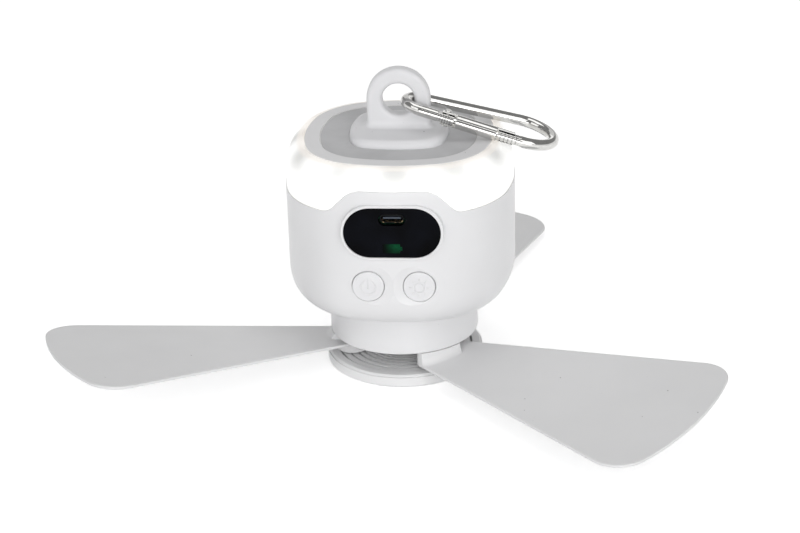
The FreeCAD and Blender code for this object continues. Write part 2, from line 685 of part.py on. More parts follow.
def sun_icon(x, face):
    """Small ring with short rays."""
    low = SUN_RADIUS - ICON_LINE / 2
    ring_cut = rod_y(low + ICON_LINE, x, BUTTON_Z, face - BUTTON_TRAVEL, face + ICON_DEPTH)
    ring_cut = ring_cut.cut(rod_y(low, x, BUTTON_Z, face - BUTTON_TRAVEL, face + ICON_DEPTH))
    ray = block(x + SUN_RAY_START, x + SUN_RAY_START + SUN_RAY_LENGTH, face - BUTTON_TRAVEL,
                face + ICON_DEPTH, BUTTON_Z - ICON_LINE / 2, BUTTON_Z + ICON_LINE / 2)
    rays = [turned(ray, 360.0 / SUN_RAYS * i, V(x, 0, BUTTON_Z), V(0, 1, 0)) for i in range(SUN_RAYS)]
    return ring_cut.fuse(rays)


def push_button(x, icon):
    """Round cap with a slightly domed face, a flange behind the wall and a stem."""
    face = BUTTON_FACE_Y
    cap = rod_y(BUTTON_RADIUS, x, BUTTON_Z, face, FLANGE_FRONT + BUTTON_FLANGE_THICK)
    dome = Part.makeSphere(BUTTON_DOME_RADIUS, V(x, face + BUTTON_DOME_RADIUS, BUTTON_Z))
    cap = cap.common(dome)
    rim = [edge for edge in cap.Edges
           if edge.BoundBox.YLength < RUNNING_FIT and edge.BoundBox.YMax < face + BUTTON_EDGE_ROUND * 2]
    cap = cap.makeFillet(BUTTON_EDGE_ROUND, rim)
    flange = rod_y(FLANGE_RADIUS, x, BUTTON_Z, FLANGE_FRONT, FLANGE_FRONT + BUTTON_FLANGE_THICK)
    stem = rod_y(BUTTON_STEM_RADIUS, x, BUTTON_Z, FLANGE_FRONT, STEM_END_Y)
    return cap.fuse([flange, stem]).removeSplitter().cut(icon(x, face))


def main_board():
    """Upright control board behind the front wall."""
    board = block(-BOARD_HALF_WIDTH, BOARD_HALF_WIDTH, BOARD_Y, BOARD_Y + BOARD_THICK,
                  BOARD_LOW, BOARD_HIGH)
    holes = [rod_y(SCREW_RADIUS + SCREW_FIT, x, z, BOARD_Y - BOARD_THICK, BOARD_Y + 2 * BOARD_THICK)
             for x, z in BOARD_HOLES]
    return board.cut(holes)


def button_switches():
    """Tactile switches behind the two buttons."""
    half = SWITCH_SIDE / 2
    out = []
    for x in BUTTON_XS:
        body = block(x - half, x + half, BOARD_Y - SWITCH_BODY, BOARD_Y, BUTTON_Z - half, BUTTON_Z + half)
        plunger = rod_y(SWITCH_PLUNGER_RADIUS, x, BUTTON_Z, SWITCH_FACE_Y, BOARD_Y - SWITCH_BODY)
        out.append(body.fuse(plunger).removeSplitter())
    return group(out)


def mid_frame():
    """Inner deck that carries the light board and takes the cover screws."""
    deck = plan_prism(BODY_HALF - SHELL_WALL - FRAME_FIT, FRAME_LOW, FRAME_HIGH)
    seat_outer = LIGHT_BOARD_OUTER / 2
    seat = plan_prism(seat_outer, FRAME_HIGH, LIGHT_BOARD_LOW)
    seat = seat.cut(plan_prism(seat_outer - LIGHT_SEAT_WIDTH, FRAME_LOW, LIGHT_BOARD_LOW + FRAME_FIT))
    deck = deck.fuse(seat)
    holes = [post(SCREW_RADIUS + SCREW_FIT, FRAME_LOW - FRAME_THICK, FRAME_HIGH + FRAME_THICK, x, y)
             for x, y in POSTS + COVER_POSTS]
    holes.append(post(FRAME_WIRE_HOLE, FRAME_LOW - FRAME_THICK, FRAME_HIGH + FRAME_THICK))
    board_room = block(-BODY_WIDTH, BODY_WIDTH, -BODY_WIDTH, BOARD_Y + BOARD_THICK + SCREW_HEAD,
                       FRAME_LOW - FRAME_THICK, FRAME_HIGH)
    keep = plan_prism(seat_outer, FRAME_LOW - FRAME_THICK, FRAME_HIGH)
    return deck.cut(holes).cut(board_room.cut(keep))


def led_board():
    """Flat ring board for the lights."""
    high = LIGHT_BOARD_LOW + LIGHT_BOARD_THICK
    outer = plan_prism(LIGHT_BOARD_OUTER / 2, LIGHT_BOARD_LOW, high)
    return outer.cut(plan_prism(LIGHT_BOARD_INNER / 2, FRAME_HIGH, COVER_TOP))


def led_chips():
    """Light chips spaced round the ring board."""
    low = LIGHT_BOARD_LOW + LIGHT_BOARD_THICK
    half = CHIP_SIZE / 2
    chip = block(CHIP_CIRCLE - half, CHIP_CIRCLE + half, -half, half, low, low + CHIP_THICK)
    return group([turned(chip, 360.0 / CHIP_COUNT * i) for i in range(CHIP_COUNT)])


CELL_PITCH = 2 * CELL_RADIUS + CELL_GAP
CELL_STACK = math.sqrt((2 * CELL_RADIUS + CELL_STACK_GAP) ** 2 - (CELL_PITCH / 2) ** 2)
CELL_PLACES = [(CELL_FIRST_Y, CELL_Z), (CELL_FIRST_Y + CELL_PITCH, CELL_Z),
               (CELL_FIRST_Y + CELL_PITCH / 2, CELL_Z + CELL_STACK)]


def rod_x(radius, y, z, x0, x1):
    """Cylinder along X."""
    return Part.makeCylinder(radius, x1 - x0, V(x0, y, z), V(1, 0, 0))


def battery_cells():
    """Three round cells lying across the body, each with a raised end cap."""
    half = CELL_LENGTH / 2
    return group([rod_x(CELL_RADIUS, y, z, -half, half - CELL_CAP).fuse(
        rod_x(CELL_CAP_RADIUS, y, z, half - CELL_CAP, half)).removeSplitter() for y, z in CELL_PLACES])


def battery_cradle():
    """Tray under the two lower cells, on short legs."""
    y0 = CELL_FIRST_Y - CELL_RADIUS - CRADLE_MARGIN
    y1 = CELL_FIRST_Y + CELL_PITCH + CELL_RADIUS + CRADLE_MARGIN
    tray = block(-CRADLE_HALF_WIDTH, CRADLE_HALF_WIDTH, y0, y1, CRADLE_LOW, CRADLE_HIGH)
    legs = [post(CRADLE_LEG_RADIUS, FLOOR_TOP, CRADLE_LOW, x, y) for x in (-CRADLE_LEG_X, CRADLE_LEG_X)
            for y in (CELL_FIRST_Y, CELL_FIRST_Y + CELL_PITCH / 2)]
    tray = tray.common(envelope(SHELL_WALL + CELL_FIT, LIGHT_LEDGE_LOW, SHOULDER_STEPS[-2]))
    room = [rod_x(CELL_RADIUS + CELL_FIT, y, z, -BODY_HALF, BODY_HALF) for y, z in CELL_PLACES]
    room += [post(POST_RADIUS + CELL_FIT, FLOOR_TOP, CRADLE_HIGH, x, y) for x, y in POSTS]
    return tray.fuse(legs).cut(room)


def rotor_collar():
    """Collar cup under the body, with the column that carries the disc."""
    height = COLLAR_TOP - COLLAR_BOTTOM
    outer = Part.makeCone(COLLAR_RADIUS, COLLAR_TOP_RADIUS, height, V(0, 0, COLLAR_BOTTOM))
    outer = outer.makeFillet(COLLAR_EDGE_ROUND, flat_edges(outer, COLLAR_BOTTOM))
    inside = Part.makeCone(COLLAR_RADIUS - COLLAR_WALL, COLLAR_TOP_RADIUS - COLLAR_WALL, height,
                           V(0, 0, COLLAR_BOTTOM))
    inside = inside.cut(post(COLLAR_RADIUS, COLLAR_BOTTOM, COLLAR_BOTTOM + COLLAR_FLOOR))
    cup = outer.cut(inside).fuse(post(COLUMN_RADIUS, DISC_HEIGHT, COLLAR_BOTTOM)).removeSplitter()
    cuts = [post(SCREW_RADIUS + SCREW_FIT, DISC_HEIGHT, COLLAR_TOP),
            post(SCREW_HEAD_RADIUS + SCREW_FIT, DISC_SCREW_SEAT, COLLAR_TOP)]
    for x, y in PIVOTS:
        cuts.append(post(PIN_RADIUS + PRESS_FIT, COLLAR_BOTTOM, COLLAR_BOTTOM + PIN_BITE, x, y))
    for x, y in ring_points(BLADE_COUNT, HUB_SCREW_CIRCLE):
        cuts.append(post(SCREW_RADIUS + SCREW_FIT, COLLAR_BOTTOM + COLLAR_FLOOR - HUB_SCREW_BITE,
                         COLLAR_TOP, x, y))
    return cup.cut(cuts)


def rotor_disc():
    """Ribbed disc, turned profile with tiered rim and round ridges."""
    rim_in = DISC_RADIUS - DISC_TIER_STEP - DISC_RIM_WIDTH
    tier = DISC_RADIUS - DISC_TIER_STEP
    points = [(0, 0), (DISC_RADIUS - DISC_EDGE, 0), (DISC_RADIUS - DISC_EDGE / 4, DISC_EDGE / 2),
              (DISC_RADIUS, DISC_EDGE), (DISC_RADIUS, DISC_TIER_HEIGHT), (tier, DISC_TIER_HEIGHT),
              (tier, DISC_HEIGHT - DISC_RIM_BEVEL), (tier - DISC_RIM_BEVEL, DISC_HEIGHT),
              (rim_in, DISC_HEIGHT), (rim_in, DISC_FLOOR), (0, DISC_FLOOR)]
    wire = Part.makePolygon([V(r, 0, z) for r, z in points + points[:1]])
    disc = Part.Face(wire).revolve(V(0, 0, 0), UP, 360)
    ridge_top = DISC_HEIGHT - DISC_RIDGE_DROP
    ridges = []
    outer = rim_in - DISC_GROOVE
    for i in range(DISC_RIDGES):
        width = DISC_RIDGE_PITCH * DISC_RIDGE_SHRINK ** i - DISC_GROOVE
        ridges.append(ring(outer, outer - width, DISC_FLOOR, ridge_top))
        outer -= width + DISC_GROOVE
    bosses = [post(DISC_BOSS_RADIUS, DISC_FLOOR, DISC_BOSS_TOP, x, y) for x, y in PIVOTS]
    bosses.append(post(COLUMN_RADIUS, DISC_FLOOR, DISC_HEIGHT))
    disc = disc.fuse(ridges + bosses)
    head = PIN_HEAD_SUNK + PIN_HEAD + SCREW_FIT
    cuts = [post(SCREW_RADIUS + SCREW_FIT, DISC_HEIGHT - DISC_SCREW_BITE, DISC_HEIGHT)]
    for x, y in PIVOTS:
        cuts.append(post(PIN_RADIUS + PRESS_FIT, 0, DISC_HEIGHT, x, y))
        cuts.append(post(DISC_BOSS_RADIUS, DISC_BOSS_TOP, DISC_HEIGHT, x, y))
        cuts.append(post(PIN_HEAD_RADIUS + SCREW_FIT, 0, head, x, y))
    return disc.cut(cuts)


def blade_pins():
    """Pivot pins with flat heads sunk in the disc's underside."""
    out = []
    for x, y in PIVOTS:
        head = post(PIN_HEAD_RADIUS, PIN_HEAD_SUNK, PIN_HEAD_SUNK + PIN_HEAD, x, y)
        shank = post(PIN_RADIUS, PIN_HEAD_SUNK, COLLAR_BOTTOM + PIN_BITE, x, y)
        out.append(head.fuse(shank).removeSplitter())
    return group(out)


def pivot_washers():
    """Washers between the disc and each blade's boss."""
    low = DISC_BOSS_TOP + WASHER_GAP
    return group([ring(WASHER_RADIUS, PIN_RADIUS + RUNNING_FIT, low, low + WASHER_THICK, x, y)
                  for x, y in PIVOTS])


def disc_screw():
    """Middle screw from the collar's floor through its column into the disc."""
    bite = DISC_SCREW_SEAT - DISC_HEIGHT + DISC_SCREW_BITE - SCREW_FIT
    return screw_down(0, 0, DISC_SCREW_SEAT, bite)


def blade_outline_face():
    """Flat outline of one blade in its own plane: pivot at the origin, length along X."""
    z = 0.0
    back = V(BLADE_ROOT_START, BLADE_ROOT_BACK, z)
    front = V(BLADE_ROOT_START, BLADE_ROOT_FRONT, z)
    tip_back = V(BLADE_TIP_BACK[0], BLADE_TIP_BACK[1], z)
    tip_front = V(BLADE_TIP_FRONT[0], BLADE_TIP_FRONT[1], z)
    chord = tip_front - tip_back
    outward = V(chord.y, -chord.x, 0).normalize()
    crown = (tip_back + tip_front) * 0.5 + outward * BLADE_TIP_BOW
    edges = [Part.LineSegment(back, tip_back).toShape(),
             Part.Arc(tip_back, crown, tip_front).toShape(),
             Part.LineSegment(tip_front, front).toShape(),
             Part.LineSegment(front, back).toShape()]
    return Part.Face(Part.Wire(edges))


def upright_edge(solid, corner):
    """The upright edge of a slab that passes through a plan corner."""
    near = 0.01
    found = []
    for edge in solid.Edges:
        box = edge.BoundBox
        if box.ZLength < near:
            continue
        if abs(box.XMin - corner[0]) < near and abs(box.YMin - corner[1]) < near:
            found.append(edge)
    return found


def blade(index):
    """One blade: pivot boss, root block under the collar and the thin pitched paddle."""
    sheet = blade_outline_face().extrude(V(0, 0, BLADE_THICK))
    sheet = sheet.makeFillet(BLADE_BACK_ROUND, upright_edge(sheet, BLADE_TIP_BACK))
    sheet = sheet.makeFillet(BLADE_FRONT_ROUND, upright_edge(sheet, BLADE_TIP_FRONT))
    root = (BLADE_ROOT_START, BLADE_ROOT_BACK)
    sheet = sheet.makeFillet(BLADE_ROOT_ROUND, upright_edge(sheet, root))
    rims = [edge for edge in sheet.Edges
            if edge.BoundBox.ZLength < RUNNING_FIT and edge.BoundBox.XMax > 2 * BLADE_ROOT_START]
    sheet = sheet.makeFillet(BLADE_EDGE_ROUND, rims)
    sheet.translate(V(0, 0, -BLADE_THICK / 2))
    sheet = turned(sheet, BLADE_PITCH, V(0, 0, 0), V(1, 0, 0))
    sheet = turned(sheet, -BLADE_RISE[index], V(0, 0, 0), V(0, 1, 0))
    sheet.translate(V(0, 0, BLADE_ROOT_HEIGHT))

    skirt = Part.makeCone(BLADE_BOSS_RADIUS + BLADE_SKIRT, BLADE_BOSS_RADIUS, BLADE_SKIRT_HIGH,
                          V(0, 0, BLADE_BOSS_LOW))
    boss = skirt.fuse(post(BLADE_BOSS_RADIUS, BLADE_BOSS_LOW, BLADE_BOSS_HIGH)).removeSplitter()
    boss = boss.makeFillet(COLLAR_EDGE_ROUND, flat_edges(boss, BLADE_BOSS_LOW))
    corners = [V(0, BLADE_BOSS_RADIUS, 0), V(-BLADE_BOSS_RADIUS / 2, 0, 0), V(0, -BLADE_BOSS_RADIUS, 0),
               V(BLADE_ROOT_START, BLADE_ROOT_BACK, 0), V(BLADE_BLOCK_END, BLADE_ROOT_BACK, 0),
               V(BLADE_BLOCK_END, BLADE_BLOCK_FRONT, 0)]
    slab = Part.Face(Part.makePolygon(corners + corners[:1])).extrude(V(0, 0, BLADE_BOSS_HIGH))
    slab = slab.makeFillet(BLADE_ROOT_ROUND, upright_edge(slab, root))
    below = Part.makeBox(4 * PIVOT_RADIUS, 4 * PIVOT_RADIUS, 4 * PIVOT_RADIUS,
                         V(-2 * PIVOT_RADIUS, -2 * PIVOT_RADIUS, -4 * PIVOT_RADIUS))
    below.translate(V(0, 0, -BLADE_BLOCK_UNDER))
    below = turned(below, BLADE_PITCH, V(0, 0, 0), V(1, 0, 0))
    below = turned(below, -BLADE_RISE[index], V(0, 0, 0), V(0, 1, 0))
    below.translate(V(0, 0, BLADE_ROOT_HEIGHT))
    slab = slab.cut(below)

    turn = PIVOT_ANGLES[index] + BLADE_LEAN + BLADE_SPREAD[index]
    x, y = PIVOTS[index]
    parts = []
    for piece in (sheet, boss, slab):
        placed = turned(piece, turn)
        placed.translate(V(x, y, 0))
        parts.append(placed)
    rim = post(COLLAR_RADIUS, 0, COLLAR_BOTTOM)
    parts[2] = parts[2].common(rim)
    solid = parts[1].fuse([parts[0], parts[2]])
    blend = []
    for edge in solid.Edges:
        box = edge.BoundBox
        reach = edge.valueAt((edge.FirstParameter + edge.LastParameter) / 2)
        level = abs(math.hypot(reach.x, reach.y) - COLLAR_RADIUS) < RUNNING_FIT
        if level and edge.Length > BLADE_BOSS_RADIUS and box.ZMax < BLADE_BOSS_HIGH - RUNNING_FIT:
            blend.append(edge)
    solid = solid.makeFillet(BLADE_BLOCK_BLEND, blend)
    return solid.cut(post(PIN_RADIUS + RUNNING_FIT, 0, COLLAR_TOP, x, y))


def motor_bell():
    """Steel cup on the collar floor that turns the magnet ring."""
    low = BELL_LOW
    cup = post(BELL_RADIUS, low, BELL_TOP)
    cup = cup.cut(post(BELL_RADIUS - BELL_WALL, low + BELL_WALL, BELL_TOP))
    cup = cup.fuse(post(BELL_BOSS_RADIUS, low, low + BELL_WALL + BELL_BOSS)).removeSplitter()
    cuts = [post(SHAFT_RADIUS + PRESS_FIT, low, BELL_TOP)]
    for x, y in ring_points(BLADE_COUNT, HUB_SCREW_CIRCLE):
        cuts.append(post(SCREW_RADIUS + SCREW_FIT, low, BELL_TOP, x, y))
    return cup.cut(cuts)


MAGNET_OUTER = BELL_RADIUS - BELL_WALL - PRESS_FIT
MAGNET_INNER = MAGNET_OUTER - MAGNET_THICK
STATOR_RADIUS = MAGNET_INNER - STATOR_AIR_GAP


def stator_core():
    """Laminated core with teeth and shoes."""
    core = post(STATOR_HUB_RADIUS, STATOR_LOW, STATOR_HIGH)
    tooth = block(0, STATOR_RADIUS - TOOTH_SHOE_THICK / 2, -TOOTH_WIDTH / 2, TOOTH_WIDTH / 2,
                  STATOR_LOW, STATOR_HIGH)
    shoe = ring(STATOR_RADIUS, STATOR_RADIUS - TOOTH_SHOE_THICK, STATOR_LOW, STATOR_HIGH)
    half = math.radians(TOOTH_SHOE_ANGLE / 2)
    reach = 2 * STATOR_RADIUS
    wedge_points = [V(0, 0, 0), V(reach * math.cos(half), -reach * math.sin(half), 0),
                    V(reach * math.cos(half), reach * math.sin(half), 0), V(0, 0, 0)]
    wedge = Part.Face(Part.makePolygon(wedge_points)).extrude(V(0, 0, STATOR_HIGH * 2))
    arm = tooth.fuse(shoe.common(wedge)).removeSplitter()
    arms = [turned(arm, 360.0 / STATOR_TEETH * i) for i in range(STATOR_TEETH)]
    return core.fuse(arms).removeSplitter().cut(post(TUBE_RADIUS + PRESS_FIT, 0, STATOR_HIGH * 2))


def stator_coils():
    """One wound coil round each tooth."""
    inner = STATOR_HUB_RADIUS + COIL_CLEAR
    wide = TOOTH_WIDTH / 2 + COIL_CLEAR
    shoe_inner = STATOR_RADIUS - TOOTH_SHOE_THICK
    outer = math.sqrt(shoe_inner ** 2 - (wide + COIL_BUILD) ** 2) - COIL_CLEAR
    winding = block(inner, outer, -wide - COIL_BUILD, wide + COIL_BUILD,
                    STATOR_LOW - COIL_BUILD, STATOR_HIGH + COIL_BUILD)
    corners = [edge for edge in winding.Edges if edge.BoundBox.XLength > COIL_BUILD]
    winding = winding.makeFillet(COIL_ROUND, corners)
    core = block(0, STATOR_RADIUS, -wide, wide, STATOR_LOW - COIL_CLEAR, STATOR_HIGH + COIL_CLEAR)
    coil = winding.cut(core)
    reach = 2 * STATOR_RADIUS
    half = math.pi / STATOR_TEETH - COIL_CLEAR / STATOR_RADIUS
    wedge_points = [V(0, 0, 0), V(reach * math.cos(half), -reach * math.sin(half), 0),
                    V(reach * math.cos(half), reach * math.sin(half), 0), V(0, 0, 0)]
    wedge = Part.Face(Part.makePolygon(wedge_points)).extrude(V(0, 0, STATOR_HIGH * 2))
    coil = coil.common(wedge)
    return group([turned(coil, 360.0 / STATOR_TEETH * i) for i in range(STATOR_TEETH)])


def bearings():
    """Two shaft bearings in the tube."""
    bore = SHAFT_RADIUS + RUNNING_FIT
    outer = TUBE_BORE - PRESS_FIT
    lower = ring(outer, bore, TUBE_LOW, TUBE_LOW + BEARING_HEIGHT)
    upper = ring(outer, bore, TUBE_TOP - BEARING_HEIGHT, TUBE_TOP)
    return group([lower, upper])


def motor_base():
    """Plate under the body's floor that carries tube and stator."""
    high = BODY_BOTTOM - MOTOR_BASE_GAP
    plate = post(MOTOR_BASE_RADIUS, high - MOTOR_BASE_THICK, high)
    cuts = [post(TUBE_RADIUS + PRESS_FIT, 0, high)]
    for x, y in ring_points(BLADE_COUNT, MOTOR_SCREW_CIRCLE):
        cuts.append(post(SCREW_RADIUS + SCREW_FIT, 0, high, x, y))
    return plate.cut(cuts)


# Snap hook, drawn flat: X along the hook from the eye, Y across, Z out of its plane
SMALL_X = HOOK_EYE_REACH + WIRE_RADIUS + HOOK_SMALL_BEND
LARGE_X = SMALL_X + HOOK_BEND_SPACING
TAPER = math.asin((HOOK_LARGE_BEND - HOOK_SMALL_BEND) / HOOK_BEND_SPACING)
NEAR_ORIGIN = V(SMALL_X - HOOK_SMALL_BEND * math.sin(TAPER), -HOOK_SMALL_BEND * math.cos(TAPER), 0)
NEAR_RUN = HOOK_BEND_SPACING * math.cos(TAPER)


def near_side(shape):
    """Place a shape drawn along the straight near side, where X runs towards the nose."""
    placed = turned(shape, -math.degrees(TAPER))
    placed.translate(NEAR_ORIGIN)
    return placed


def hook_placed(shape):
    """Hang a shape drawn flat in the loop's eye, with the hook's yaw and droop."""
    placed = turned(shape, HOOK_YAW, V(SMALL_X, 0, 0))
    placed.translate(V(0, HOOK_SIDE_SHIFT, 0))
    placed = turned(placed, HOOK_DROOP, V(0, 0, 0), V(0, 1, 0))
    placed.translate(V(0, 0, LOOP_Z))
    return placed


def bend_point(centre_x, radius, angle):
    """Point on a bend of the hook's wire."""
    return V(centre_x + radius * math.cos(angle), radius * math.sin(angle), 0)


def near_point(x):
    """Point on the centre line of the near side."""
    return NEAR_ORIGIN + V(math.cos(TAPER), -math.sin(TAPER), 0) * x


def rod_near(radius, x0, x1, y=0.0, z=0.0):
    """Cylinder along X in the near side's own frame."""
    return Part.makeCylinder(radius, x1 - x0, V(x0, y, z), V(1, 0, 0))


def rivet_rod(radius, low, high):
    """Cylinder on the gate's pivot line, in the near side's own frame."""
    return Part.makeCylinder(radius, high - low, V(GATE_PIVOT, GATE_PIVOT_SIDE, low))


def hook_wire():
    """Bent wire from the stub round the eye end, along the spine and round to the nose."""
    top = math.pi / 2 + TAPER
    small_far = bend_point(SMALL_X, HOOK_SMALL_BEND, top)
    small_near = bend_point(SMALL_X, HOOK_SMALL_BEND, -top)
    large_far = bend_point(LARGE_X, HOOK_LARGE_BEND, top)
    large_near = bend_point(LARGE_X, HOOK_LARGE_BEND, -top)
    start = near_point(STUB_START)
    end = near_point(NOSE_END)
    edges = [Part.LineSegment(start, small_near).toShape(),
             Part.Arc(small_near, bend_point(SMALL_X, HOOK_SMALL_BEND, math.pi), small_far).toShape(),
             Part.LineSegment(small_far, large_far).toShape(),
             Part.Arc(large_far, bend_point(LARGE_X, HOOK_LARGE_BEND, 0), large_near).toShape(),
             Part.LineSegment(large_near, end).toShape()]
    path = Part.Wire(edges)
    heading = small_near - start
    section = Part.Wire(Part.makeCircle(WIRE_RADIUS, start, heading))
    return path.makePipeShell([section], True, False)


def flat_end(start, end, overlap, direction):
    """Flattened, ribbed end of the wire inside the gate."""
    half = END_THICK / 2
    root = start - overlap if direction > 0 else start
    tip = end if direction > 0 else end + overlap
    body = rod_near(END_RADIUS, root, tip)
    body = body.common(block(root, tip, -END_RADIUS, END_RADIUS, -half, half))
    low = start + RIB_MARGIN
    pitch = (end - start - 2 * RIB_MARGIN) / (RIB_COUNT - 1)
    grooves = []
    for i in range(RIB_COUNT):
        middle = low + pitch * i
        band = rod_near(HOOK_WIRE, middle - RIB_GROOVE / 2, middle + RIB_GROOVE / 2)
        band = band.cut(rod_near(END_RADIUS - RIB_GROOVE / 2, middle - RIB_GROOVE, middle + RIB_GROOVE))
        grooves.append(band.common(block(root, tip, -HOOK_WIRE, 0, -HOOK_WIRE, HOOK_WIRE)))
    return body.cut(grooves)


def snap_hook():
    """Hook frame: wire with the ribbed stub in the gate's hinge end and the flattened nose."""
    overlap = 1.0
    stub = flat_end(STUB_START, STUB_END, overlap, 1)
    nose = flat_end(NOSE_START, NOSE_END, overlap, -1)
    stub = stub.cut(rivet_rod(RIVET_RADIUS + PRESS_FIT, -END_THICK, END_THICK))
    return hook_placed(hook_wire().fuse([near_side(stub), near_side(nose)]))


def gate_tube():
    """Gate tube along the near side, with its outer side cut open at hinge and nose."""
    tube = rod_near(GATE_RADIUS, GATE_START, GATE_END)
    half = GATE_SLOT / 2
    far = 2 * GATE_RADIUS
    cuts = [rod_near(GATE_BORE, 0, 2 * GATE_END),
            block(0, HINGE_SLOT_END, -far, -GATE_OPEN_SIDE, -far, far),
            block(0, GATE_PIVOT + HINGE_RELIEF, -far, far, -half, half),
            block(NOSE_SLOT_START, 2 * GATE_END, -far, -GATE_OPEN_SIDE, -far, far),
            rivet_rod(RIVET_RADIUS + RUNNING_FIT, -far, far)]
    return tube.cut(cuts)


def snap_gate():
    """The gate in its place on the hook."""
    return hook_placed(near_side(gate_tube()))


def gate_pin():
    """Rivet through the gate and the stub."""
    reach = GATE_RADIUS + RUNNING_FIT
    shank = rivet_rod(RIVET_RADIUS, -reach, reach)
    low = rivet_rod(RIVET_HEAD_RADIUS, -reach - RIVET_HEAD, -reach)
    high = rivet_rod(RIVET_HEAD_RADIUS, reach, reach + RIVET_HEAD)
    return hook_placed(near_side(shank.fuse([low, high]).removeSplitter()))


def gate_spring():
    """Closing spring inside the gate tube."""
    height = SPRING_PITCH * SPRING_TURNS
    helix = Part.makeHelix(SPRING_PITCH, height, SPRING_RADIUS)
    section = Part.Wire(Part.makeCircle(SPRING_WIRE / 2, V(SPRING_RADIUS, 0, 0), V(0, 1, 0)))
    coil = Part.Wire(helix.Edges).makePipeShell([section], True, True)
    coil = turned(coil, 90, V(0, 0, 0), V(0, 1, 0))
    coil.translate(V(SPRING_START, 0, 0))
    return hook_placed(near_side(coil))


def build():
    """Write every sub-part."""
    os.makedirs("parts", exist_ok=True)
    base_screw_z = FLOOR_TOP
    hub_screw_z = BELL_LOW + BELL_WALL
    nodes = {
        "lower_shell": lower_shell(),
        "light_diffuser": light_diffuser(),
        "top_cover": top_cover(),
        "label_ring": label_ring(),
        "window_lens": window_lens(),
        "charge_socket": charge_socket(),
        "battery_indicator": indicator_solid(0.0),
        "main_board": main_board(),
        "board_screws": group([screw_y(x, z, BOARD_Y + BOARD_THICK, BOARD_THICK + SCREW_BITE - SCREW_FIT)
                               for x, z in BOARD_HOLES]),
        "button_switches": button_switches(),
        "power_button": push_button(BUTTON_XS[0], power_icon),
        "light_button": push_button(BUTTON_XS[1], sun_icon),
        "mid_frame": mid_frame(),
        "frame_screws": group([screw_down(x, y, FRAME_HIGH, FRAME_THICK + SCREW_BITE - SCREW_FIT)
                               for x, y in POSTS]),
        "led_board": led_board(),
        "led_chips": led_chips(),
        "cover_screws": group([screw_up(x, y, FRAME_LOW, FRAME_THICK + SCREW_BITE - SCREW_FIT)
                               for x, y in COVER_POSTS]),
        "battery_cells": battery_cells(),
        "battery_cradle": battery_cradle(),
        "motor_base": motor_base(),
        "motor_screws": group([screw_down(x, y, base_screw_z, SHELL_WALL + MOTOR_BASE_THICK)
                               for x, y in ring_points(BLADE_COUNT, MOTOR_SCREW_CIRCLE)]),
        "bearing_tube": ring(TUBE_RADIUS, TUBE_BORE, TUBE_LOW, TUBE_TOP),
        "bearings": bearings(),
        "stator_core": stator_core(),
        "stator_coils": stator_coils(),
        "rotor_collar": rotor_collar(),
        "rotor_disc": rotor_disc(),
        "motor_bell": motor_bell(),
        "ring_magnet": ring(MAGNET_OUTER, MAGNET_INNER, MAGNET_LOW, BELL_TOP),
        "motor_shaft": post(SHAFT_RADIUS, BELL_LOW, SHAFT_TOP),
        "hub_screws": group([screw_down(x, y, hub_screw_z, BELL_WALL + BELL_GAP + HUB_SCREW_BITE,
                                        HUB_SCREW_HEAD)
                             for x, y in ring_points(BLADE_COUNT, HUB_SCREW_CIRCLE)]),
        "blade_pins": blade_pins(),
        "pivot_washers": pivot_washers(),
        "disc_screw": disc_screw(),
        "snap_hook": snap_hook(),
        "snap_gate": snap_gate(),
        "gate_pin": gate_pin(),
        "gate_spring": gate_spring(),
    }
    for index in range(BLADE_COUNT):
        nodes["blade_%d" % (index + 1)] = blade(index)
    for name, shape in nodes.items():
        save(name, shape)
        box = shape.BoundBox
        sizes = (box.XMin, box.XMax, box.YMin, box.YMax, box.ZMin, box.ZMax)
        print("%-18s solids %2d valid %s volume %9.2f box %s" % (
            name, len(shape.Solids), shape.isValid(), shape.Volume, " ".join("%.1f" % s for s in sizes)))


build()
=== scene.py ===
import bpy
import bmesh
import math
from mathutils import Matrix, Quaternion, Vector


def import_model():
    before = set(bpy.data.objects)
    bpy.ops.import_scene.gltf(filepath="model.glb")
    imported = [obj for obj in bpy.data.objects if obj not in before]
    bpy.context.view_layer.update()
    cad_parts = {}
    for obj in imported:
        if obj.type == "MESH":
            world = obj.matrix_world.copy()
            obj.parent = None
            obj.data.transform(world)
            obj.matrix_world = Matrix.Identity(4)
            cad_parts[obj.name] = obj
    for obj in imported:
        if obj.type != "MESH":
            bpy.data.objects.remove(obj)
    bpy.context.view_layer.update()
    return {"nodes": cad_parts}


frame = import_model()
NODES = frame["nodes"]

MM = 0.001

# Places on the object, in the frame's own axes
COVER_Z = 96.4 * MM
SEAM_Z = 79.0 * MM
INDICATOR_Z = 66.0 * MM
SOCKET_Z = 77.7 * MM
LIP_INNER = 20.0 * MM
LIP_OUTER = 22.0 * MM
DIP_LOW = 88.0 * MM
DIP_HIGH = 94.5 * MM
LINE_LOW = 95.1 * MM
LINE_HIGH = 95.7 * MM
TONGUE_HALF_HIGH = 0.36 * MM
TONGUE_HALF_WIDE = 3.36 * MM
TONGUE_SOFT = 0.03 * MM

# Light ring: dips between groups of lights round the turn, and the phase in radians that shifts them
LIGHT_GROUPS = 12.0
DIP_PHASE = 1.1

# Specks in the mouldings: cells per metre, and radius as a share of a cell
SPECK_CELLS, SPECK_RADIUS = 300.0, 0.085
DUST_CELLS, DUST_RADIUS = 520.0, 0.09

# Studio: white to WALL_TOP, grey from CEILING_LOW up
FLOOR_HALF = 4.0
FLOOR_DROP = 0.05 * MM
FLOOR_LIFT = 0.50
WALL_TOP = math.radians(8.0)
CEILING_LOW = math.radians(18.0)
CEILING = 0.26
AIM = (0.0, 0.0, 0.05)

